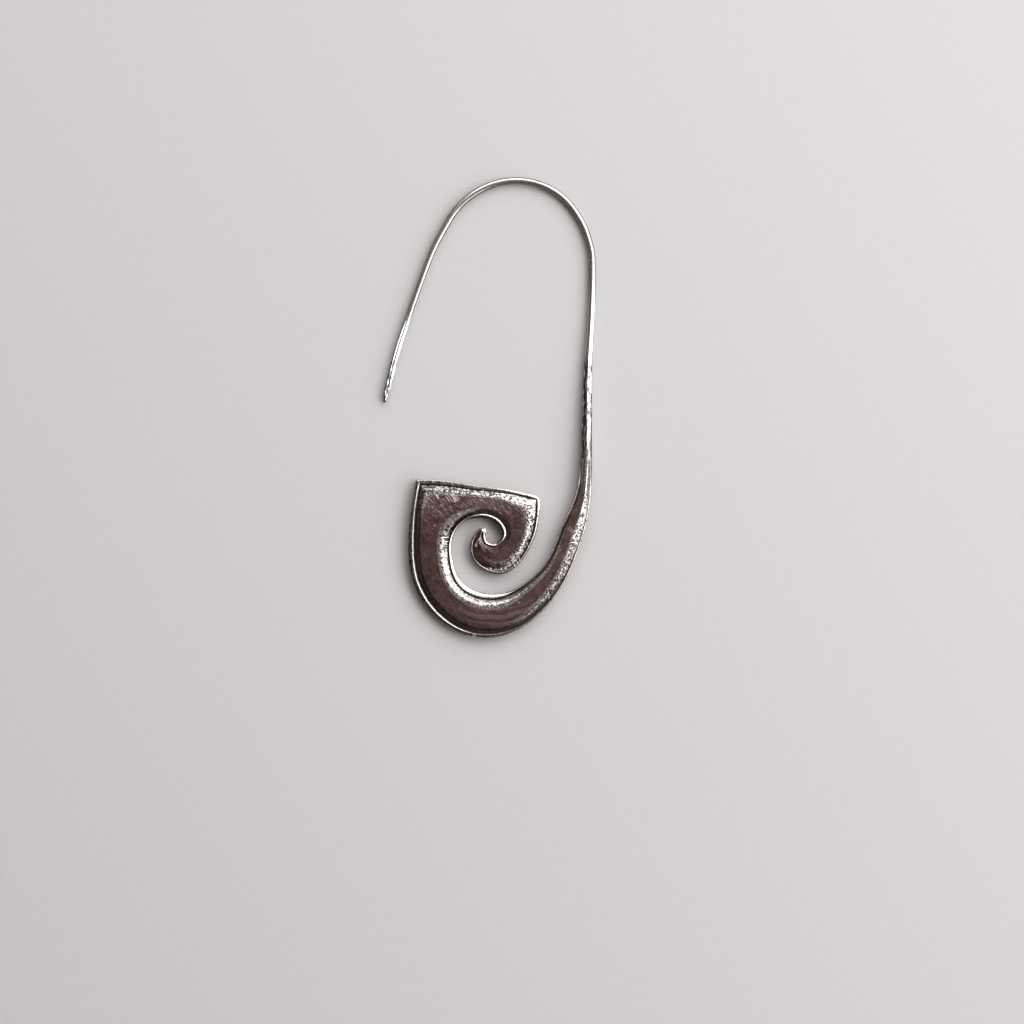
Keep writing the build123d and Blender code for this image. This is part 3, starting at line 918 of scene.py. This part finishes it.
def bead_rings(count=16, around=24):
    """Lumpy bead at the whorl's tip, as rings from its foot to its top."""
    place, half = np.array(BEAD_PLACE), np.array(BEAD_SIZE) / 2
    lean, bearing = math.radians(BEAD_LEAN), math.radians(BEAD_BEARING)
    axis = Vector((-math.sin(bearing), math.cos(bearing), 0.0))
    tilt = np.array(Matrix.Rotation(lean, 3, axis))
    rings = []
    for rise in np.linspace(-0.5 * math.pi, 0.5 * math.pi, count + 2)[1:-1]:
        turn = np.linspace(0, 2 * math.pi, around, endpoint=False)
        ball = np.stack([np.cos(turn), np.sin(turn), np.full(around, math.tan(rise))], axis=1)
        ball *= math.cos(rise)
        lumpy = np.array([1 + 0.07 * noise.noise(Vector(p * 1.7 + 4.0)) for p in ball])
        rings.append(place + (ball * lumpy[:, None] * half) @ tilt.T)
    return np.array(rings)


def ring_faces(count, around, first=0):
    """Quads between neighbouring rings, and the two ends."""
    start = first + np.arange(count - 1)[:, None] * around
    here = np.arange(around)[None, :]
    after = (here + 1) % around
    corners = (start + here, start + after, start + around + after, start + around + here)
    quads = np.stack(corners, axis=2)
    faces = [tuple(int(v) for v in q) for q in quads.reshape(-1, 4)]
    faces.append(tuple(first + k for k in reversed(range(around))))
    last = first + (count - 1) * around
    faces.append(tuple(last + k for k in range(around)))
    return faces


def add_object(name, data):
    """Puts a new object into the scene."""
    made = bpy.data.objects.new(name, data)
    bpy.context.scene.collection.objects.link(made)
    return made


def add_attribute(mesh, name, values):
    """Stores one number for each vertex."""
    layer = mesh.attributes.new(name, "FLOAT", "POINT")
    layer.data.foreach_set("value", np.asarray(values, np.float32).ravel())


def build_ear_hook():
    """The whole ear hook as one mesh, with what its material needs to know."""
    rings, facts = ear_hook_rings()
    rough = roughen(rings, facts)
    bead = bead_rings()
    points = np.concatenate([rough.reshape(-1, 3), bead.reshape(-1, 3)])
    faces = ring_faces(len(rough), RING_POINTS)
    faces += [f[::-1] for f in ring_faces(len(bead), bead.shape[1], rough.shape[0] * RING_POINTS)]
    mesh = bpy.data.meshes.new("spiral_ear_hook_skin")
    mesh.from_pydata([tuple(p) for p in (points + np.array(EYE)) * MM], [], faces)
    mesh.flip_normals()       # the rings run so that their faces look inwards
    mesh.update()
    extra = bead.shape[0] * bead.shape[1]
    marks = mark_depths(rings)
    for name, values, on_bead in (
        ("groove", groove_mask(facts), 0.0),
        ("shade", shade_mask(facts), 0.0),
        ("rim", rim_mask(facts), 1.0),
        ("tooling", tooling_mask(facts), 0.3),
        ("worn", np.clip(-marks / 0.03, 0, 1), 1.0),
        ("wire", np.repeat(facts["roundness"][:, None], RING_POINTS, axis=1), 0.0),
        ("drawn", np.repeat(facts["drawn"][:, None], RING_POINTS, axis=1), 0.0),
        ("seam", facts["seam"], 0.0),
    ):
        add_attribute(mesh, name, np.concatenate([values.ravel(), np.full(extra, on_bead)]))
    mesh.polygons.foreach_set("use_smooth", [True] * len(mesh.polygons))
    return add_object("spiral_ear_hook_skin", mesh)


RAMP_INPUTS = ("Value", "From Min", "From Max", "To Min", "To Max")
NOISE_INPUTS = ("Vector", "Scale", "Detail", "Roughness", "Distortion")


class Graph:
    """Adds nodes to a node tree and joins them up."""

    def __init__(self, tree):
        self.tree = tree

    def feed(self, node, inputs):
        """Joins or sets inputs of a node."""
        for key, value in inputs.items():
            if isinstance(value, bpy.types.NodeSocket):
                self.tree.links.new(value, node.inputs[key])
            else:
                node.inputs[key].default_value = value

    def add(self, kind, inputs, **settings):
        """New node of a kind."""
        made = self.tree.nodes.new(kind)
        for name, value in settings.items():
            setattr(made, name, value)
        self.feed(made, inputs)
        return made

    def math(self, operation, *values):
        """One operation on one or two values."""
        return self.add("ShaderNodeMath", dict(enumerate(values)), operation=operation).outputs[0]

    def fold(self, operation, values):
        """One operation on all values in turn."""
        result = values[0]
        for value in values[1:]:
            result = self.math(operation, result, value)
        return result

    def total(self, *values):
        """Sum of the values."""
        return self.fold("ADD", values)

    def times(self, *values):
        """Product of the values."""
        return self.fold("MULTIPLY", values)

    def clamp(self, value):
        """Value held between 0 and 1."""
        return self.add("ShaderNodeClamp", {"Value": value}).outputs[0]

    def ramp(self, *values):
        """Smooth step of a value from one range to another, which is 0 to 1 unless given."""
        inputs = dict(zip(RAMP_INPUTS, values))
        return self.add("ShaderNodeMapRange", inputs, interpolation_type="SMOOTHSTEP").outputs[0]

    def colour(self, amount, first, second):
        """Mix of two colours, all of the second where the amount is 1."""
        inputs = {0: amount}
        for key, value in ((6, first), (7, second)):
            inputs[key] = value if isinstance(value, bpy.types.NodeSocket) else (*value, 1.0)
        return self.add("ShaderNodeMix", inputs, data_type="RGBA").outputs[2]

    def noise(self, *values):
        """Noise at a place, with its scale, detail, roughness and distortion."""
        return self.add("ShaderNodeTexNoise", dict(zip(NOISE_INPUTS, values))).outputs[0]

    def attribute(self, name):
        """Values stored in the mesh."""
        return self.add("ShaderNodeAttribute", {}, attribute_name=name).outputs["Fac"]

    def vector(self, operation, *values):
        """One operation on one or two vectors."""
        made = self.add("ShaderNodeVectorMath", dict(enumerate(values)), operation=operation)
        return made.outputs["Value" if operation in ("DOT_PRODUCT", "LENGTH") else "Vector"]


def scratch_group():
    """Node group: how much a place lies on a straight scratch, added to the ones before."""
    tree = bpy.data.node_groups.new("scratch", "ShaderNodeTree")
    for name in ("Place", "Start", "Along", "Across"):
        tree.interface.new_socket(name, in_out="INPUT", socket_type="NodeSocketVector")
    for name in ("Length", "Width", "Strength", "Before"):
        tree.interface.new_socket(name, in_out="INPUT", socket_type="NodeSocketFloat")
    tree.interface.new_socket("Mask", in_out="OUTPUT", socket_type="NodeSocketFloat")
    graph = Graph(tree)
    given = graph.add("NodeGroupInput", {}).outputs
    offset = graph.vector("SUBTRACT", given["Place"], given["Start"])
    travelled = graph.vector("DOT_PRODUCT", offset, given["Along"])
    share = graph.math("DIVIDE", travelled, given["Length"])
    from_middle = graph.math("ABSOLUTE", graph.math("SUBTRACT", share, 0.5))
    aside = graph.math("ABSOLUTE", graph.vector("DOT_PRODUCT", offset, given["Across"]))
    sideways = graph.ramp(graph.math("DIVIDE", aside, given["Width"]), 1.0, 0.2)
    mask = graph.times(graph.ramp(from_middle, 0.5, 0.30), sideways, given["Strength"])
    graph.add("NodeGroupOutput", {"Mask": graph.total(mask, given["Before"])})
    return tree


def scratches(graph, place):
    """All scratches together, on the surfaces that look up."""
    group = scratch_group()
    mask = 0.0
    for mark in SCRATCHES:
        run = Vector((mark.x1 - mark.x0, mark.y1 - mark.y0, 0.0))
        along = run.normalized()
        inputs = {
            "Place": place,
            "Start": (mark.x0, mark.y0, 0.0),
            "Along": along,
            "Across": (-along.y, along.x, 0.0),
            "Length": run.length,
            "Width": mark.width,
            "Strength": mark.strength,
            "Before": mask,
        }
        mask = graph.add("ShaderNodeGroup", inputs, node_tree=group).outputs["Mask"]
    return graph.times(mask, graph.ramp(upward(graph), 0.3, 0.6))


def upward(graph):
    """How much the surface looks up."""
    normal = graph.add("ShaderNodeNewGeometry", {}).outputs["Normal"]
    return graph.add("ShaderNodeSeparateXYZ", {0: normal}).outputs["Z"]


BRIGHT_SILVER = (0.82, 0.80, 0.78)
# Tarnish: brown, with a red cast that is partly painted reflection of warm surroundings
LIGHT_TARNISH_AND_REFLECTION = (0.315, 0.208, 0.188)
DEEP_TARNISH_AND_REFLECTION = (0.105, 0.065, 0.058)
# Black of the patina in the low places, also used for painted shade on rims, flanks and the wire's
# sides
BLACKENED_AND_SHADE = (0.050, 0.040, 0.036)
WIRE_SILVER = (0.775, 0.800, 0.790)
WIRE_BLACK_AND_SHADE = (0.058, 0.060, 0.062)
GLANCING_TINT = (0.45, 0.42, 0.40, 1.0)

# What the mesh stores for its material
STORED = ("groove", "rim", "tooling", "worn", "wire", "drawn", "seam", "shade")

# Noise in the silver: scale, detail, roughness, distortion
NOISES = {
    "clouds": (0.40, 4.0, 0.6, 0.3),
    "patches": (1.3, 4.0, 0.65, 0.4),
    "chatter": (2.9, 3.0, 0.6, 0.5),
    "grain": (5.0, 3.0, 0.65),
    "speckle": (10.0, 2.0, 0.6),
}

# Unevenness of the tarnish: noise and its ramp
MOTTLES = (
    ("clouds", 0.35, 0.65, 0.20, -0.15),
    ("patches", 0.35, 0.65, 0.20, -0.20),
    ("grain", 0.30, 0.70, 0.20, -0.20),
)

# Where black stays, and painted shade (the shade row): on what, the noise that breaks it up, and
# the ramp of that noise
BLACKS_AND_SHADE = (
    ("groove", "grain", 0.25, 0.60, 1.0, 0.75),
    ("tooling", "chatter", 0.545, 0.445, 0.0, 0.95),
    ("off_wire", "grain", 0.40, 0.30, 0.0, 0.35),
    # painted shade on rims and flanks
    ("shade", "chatter", 0.35, 0.65, 1.0, 0.7),
    ("rim", "chatter", 0.42, 0.34, 0.0, 0.6),
)

# Relief too fine for the mesh: height in millimetres, and what it is multiplied by
HEIGHTS = (
    (0.060, "chatter", "tooling"),
    (0.012, "grain", "off_wire"),
    (0.012, "speckle", "tooling"),
    (0.012, "patches", "off_wire"),
    (0.010, "strokes"),
    (0.014, "bands"),
    (-0.012, "lines"),
    (-0.020, "seam"),
)

# Bands filed round the eye at the bottom: radius, half width, strength
FILED_BANDS = ((11.05, 0.18, 0.6), (11.95, 0.38, 1.0), (12.85, 0.20, 0.6))


def filed_bands(graph, here):
    """Low bands round the eye, where the bottom of the dome was filed."""
    x, y = here["x"], here["y"]
    flat = graph.add("ShaderNodeCombineXYZ", {0: x, 1: y}).outputs[0]
    swaying = graph.times(graph.noise(flat, 0.22, 1.0, 0.5), 0.9)
    radius = graph.total(graph.vector("LENGTH", flat), swaying)
    bands = 0.0
    for middle, half, strength in FILED_BANDS:
        aside = graph.math("ABSOLUTE", graph.math("SUBTRACT", radius, middle))
        bands = graph.math("MAXIMUM", bands, graph.ramp(aside, half, 0.45 * half, 0.0, strength))
    return graph.times(bands, here["low_part"], here["off_wire"])


def burnished_strokes(graph, here):
    """Short strokes of the burnisher, slanting down across the upper dome."""
    inputs = {"Vector": here["place"], "Angle": math.radians(38)}
    slant = graph.add("ShaderNodeVectorRotate", inputs, rotation_type="Z_AXIS").outputs[0]
    stroked = graph.noise(graph.vector("MULTIPLY", slant, (1.3, 5.5, 1.0)), 1.0, 2.0, 0.5)
    upper = graph.ramp(here["y"], 0.5, 4.0, 0.25, 1.0)
    return graph.times(graph.ramp(stroked, 0.56, 0.68), upper, here["off_wire"])


def silver_surface(graph):
    """Place, stored values, noise and marks that every layer of the silver is worked out from."""
    here = {}
    found = graph.add("ShaderNodeTexCoord", {}).outputs["Object"]
    millimetres = graph.vector("MULTIPLY", found, (1 / MM, 1 / MM, 1 / MM))
    here["place"] = graph.vector("SUBTRACT", millimetres, tuple(EYE))
    here["x"], here["y"], _ = graph.add("ShaderNodeSeparateXYZ", {0: here["place"]}).outputs
    here["up"] = upward(graph)
    for name in STORED:
        here[name] = graph.attribute(name)
    for name, settings in NOISES.items():
        here[name] = graph.noise(here["place"], *settings)
    here["off_wire"] = graph.math("SUBTRACT", 1.0, here["wire"])
    below = graph.ramp(here["y"], -8.0, -10.0)
    here["low_part"] = graph.times(below, graph.ramp(here["x"], -5.5, -2.5))
    here["lines"] = scratches(graph, here["place"])
    here["bands"] = filed_bands(graph, here)
    here["strokes"] = burnished_strokes(graph, here)
    tooled = graph.ramp(here["tooling"], 0.22, 0.52, 0.0, 0.9)
    here["spared"] = graph.clamp(graph.total(here["rim"], here["wire"], tooled))
    speckled = graph.ramp(here["speckle"], 0.60, 0.72, 0.0, 0.50)
    stroked, banded = graph.times(here["strokes"], 0.32), graph.times(here["bands"], 0.10)
    here["fresh"] = graph.clamp(graph.total(here["worn"], here["lines"], speckled, stroked, banded))
    return here


def silver_tarnish_and_shade(graph, here):
    """Tarnish on the dome, in clouds and patches, and hardly any on rims, flanks and wire, with
    painted shade darkening it towards the lower left.
    """
    uneven = graph.total(*(graph.ramp(here[name], *ramp) for name, *ramp in MOTTLES))
    calm = graph.times(uneven, graph.ramp(here["low_part"], 0.0, 1.0, 1.0, 0.5))
    # Painted shade: the dome darkens towards the lower left, away from the lamps, and lightens to
    # the upper right
    upper_right = graph.vector("DOT_PRODUCT", here["place"], (0.7, 0.7, 0.0))
    painted_shade_lower_left = graph.ramp(upper_right, -9.0, 6.0, 0.12, -0.02)
    mottle_and_shade = graph.total(0.50, calm, painted_shade_lower_left, graph.times(here["bands"], -0.28))
    tarnished = graph.colour(graph.clamp(mottle_and_shade), LIGHT_TARNISH_AND_REFLECTION, DEEP_TARNISH_AND_REFLECTION)
    bright = graph.colour(here["wire"], BRIGHT_SILVER, WIRE_SILVER)
    return graph.colour(graph.clamp(graph.total(here["spared"], here["fresh"])), tarnished, bright)


def blackening_and_shade(graph, here):
    """Where black stays and shade is painted: black in the low places and lines on limb and wire,
    painted shade on rims, flanks and down the wire's sides.
    """
    spots = [
        graph.times(here[where], graph.ramp(here[noise_name], *ramp))
        for where, noise_name, *ramp in BLACKS_AND_SHADE
    ]
    brushed = graph.noise(graph.vector("MULTIPLY", here["place"], (4.5, 0.8, 4.5)), 1.0, 2.0, 0.6)
    hammered = graph.times(
        here["wire"],
        graph.ramp(here["y"], 26.0, 23.0),
        graph.ramp(here["up"], 0.15, 0.65, 0.25, 1.0),
    )
    streaks = graph.times(graph.ramp(brushed, 0.42, 0.54, 0.0, 0.90), hammered)
    dark = graph.clamp(graph.total(*spots, streaks))
    kept = graph.times(dark, graph.ramp(here["fresh"], 0.0, 1.0, 1.0, 0.2))
    # Painted shade: the wire's sides darken where the surface turns away from looking up
    edge_on = graph.ramp(graph.math("ABSOLUTE", here["up"]), 0.88, 0.50, 0.0, 0.80)
    painted_side_shade = graph.times(edge_on, graph.ramp(here["drawn"], 0.0, 1.0, 0.45, 1.0), here["wire"])
    return graph.clamp(graph.total(kept, painted_side_shade, here["seam"]))


def gloss(graph, here):
    """Roughness: polished flanks and rims, duller tarnish, broken up by the grain."""
    return graph.total(
        0.30,
        graph.times(here["spared"], -0.12),
        graph.ramp(here["grain"], 0.35, 0.65, 0.0, 0.10),
        graph.times(here["fresh"], 0.12),
        graph.times(here["groove"], 0.25),
    )


def relief(graph, here):
    """Normals with tool marks on the flanks, grain, strokes, bands, scratches and seam."""
    layers = [graph.times(*(here[name] for name in names), high) for high, *names in HEIGHTS]
    height = graph.total(*layers)
    inputs = {"Strength": 1.0, "Distance": MM, "Height": height}
    return graph.add("ShaderNodeBump", inputs).outputs["Normal"]


def new_material(name):
    """Empty material with its graph and its shader."""
    material = bpy.data.materials.new(name)
    material.use_nodes = True
    return material, Graph(material.node_tree), material.node_tree.nodes["Principled BSDF"]


def silver_material():
    """Antiqued silver: tarnished on the dome, black in the grooves, bright where it is worn, with
    painted shade on rims, flanks, the wire's sides and the lower left of the dome.
    """
    material, graph, shader = new_material("antiqued_silver")
    here = silver_surface(graph)
    silver = silver_tarnish_and_shade(graph, here)
    black = graph.colour(here["wire"], BLACKENED_AND_SHADE, WIRE_BLACK_AND_SHADE)
    looks = {
        "Base Color": graph.colour(blackening_and_shade(graph, here), silver, black),
        "Roughness": gloss(graph, here),
        "Normal": relief(graph, here),
        "Metallic": 1.0,
        "Specular Tint": GLANCING_TINT,
    }
    graph.feed(shader, looks)
    return material


FLOOR_REACH = 3.0     # metres
FLOOR_GREYS = ((0.63, 0.635, 0.64), (0.66, 0.665, 0.67))


def floor_material():
    """Pale matt board with a faint tooth."""
    material, graph, shader = new_material("pale_floor")
    tooth = graph.noise(graph.add("ShaderNodeTexCoord", {}).outputs["Object"], 900.0, 3.0, 0.6)
    dips = graph.add("ShaderNodeBump", {"Strength": 0.2, "Distance": 0.0001, "Height": tooth})
    looks = {
        "Base Color": graph.colour(tooth, *FLOOR_GREYS),
        "Normal": dips.outputs["Normal"],
        "Roughness": 0.85,
    }
    graph.feed(shader, looks)
    return material


def build_floor():
    """Large plain floor under the object."""
    mesh = bpy.data.meshes.new("floor")
    corners = ((-1, -1), (1, -1), (1, 1), (-1, 1))
    mesh.from_pydata([(x * FLOOR_REACH, y * FLOOR_REACH, 0) for x, y in corners], [], [range(4)])
    mesh.materials.append(floor_material())
    add_object("floor", mesh)


# Soft lights, seen from the object: bearing anticlockwise from its right, rise, metres
# wide and high, watts and colour
Softbox = namedtuple("Softbox", "bearing rise width height power colour")
SOFTBOX_DISTANCE = 0.8
WHITE, WARM = (1.0, 1.0, 1.0), (1.0, 0.97, 0.95)
SOFTBOXES = {
    "softbox_top": Softbox(98, 32, 0.60, 0.56, 2.3, WHITE),
    "softbox_corner": Softbox(48, 32, 0.60, 0.56, 3.9, WHITE),
    "softbox_right": Softbox(-2, 32, 0.60, 0.56, 3.6, WHITE),
    "softbox_high": Softbox(30, 64, 0.50, 0.26, 0.6, WHITE),
    "softbox_low": Softbox(-40, 24, 0.60, 0.44, 1.05, WARM),
}


def softbox(name, light):
    """One soft light, facing the object."""
    data = bpy.data.lights.new(name, "AREA")
    data.shape = "RECTANGLE"
    data.size, data.size_y = light.width, light.height
    data.energy, data.color = light.power, light.colour
    lamp = add_object(name, data)
    turn, up = math.radians(light.bearing), math.radians(light.rise)
    away = Vector((math.cos(turn) * math.cos(up), math.sin(turn) * math.cos(up), math.sin(up)))
    lamp.location = away * SOFTBOX_DISTANCE
    lamp.rotation_euler = away.to_track_quat("Z", "Y").to_euler()
    lamp.visible_camera = False


def light_scene():
    """Soft studio light from the top and the right, in a dim warm room."""
    for name, light in SOFTBOXES.items():
        softbox(name, light)
    world = bpy.data.worlds.new("studio")
    bpy.context.scene.world = world
    world.use_nodes = True
    graph = Graph(world.node_tree)
    way = graph.add("ShaderNodeTexCoord", {}).outputs["Generated"]
    towards = graph.vector("DOT_PRODUCT", way, (0.62, 0.62, 0.48))
    room = graph.colour(graph.ramp(towards, -0.6, 1.0), (0.060, 0.044, 0.040), (0.28, 0.22, 0.205))
    graph.feed(world.node_tree.nodes["Background"], {"Color": room, "Strength": 1.0})
    bpy.context.scene.view_settings.view_transform = "Standard"


IMAGE = 1024                          # pixels across the photograph
PIXEL = 0.14                          # millimetres that each covers
ORIGIN_PIXEL = (489.25, 407.35)       # where the object's origin lies in it
FACE_HEIGHT = 1.2                     # level at which that scale holds


def build_camera():
    """Camera straight above, with the object where the photograph has it."""
    data = bpy.data.cameras.new("camera")
    data.lens = 100
    data.sensor_width = 36
    data.clip_start, data.clip_end = 0.01, 10
    distance = IMAGE * PIXEL * data.lens / data.sensor_width
    right = (IMAGE / 2 - ORIGIN_PIXEL[0]) * PIXEL
    back = (ORIGIN_PIXEL[1] - IMAGE / 2) * PIXEL
    camera = add_object("camera", data)
    camera.location = Vector((right, back, distance + FACE_HEIGHT)) * MM
    bpy.context.scene.camera = camera


hook = build_ear_hook()
hook.data.materials.append(silver_material())
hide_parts("spiral_ear_hook")
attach(hook, "root")
build_floor()
light_scene()
build_camera()
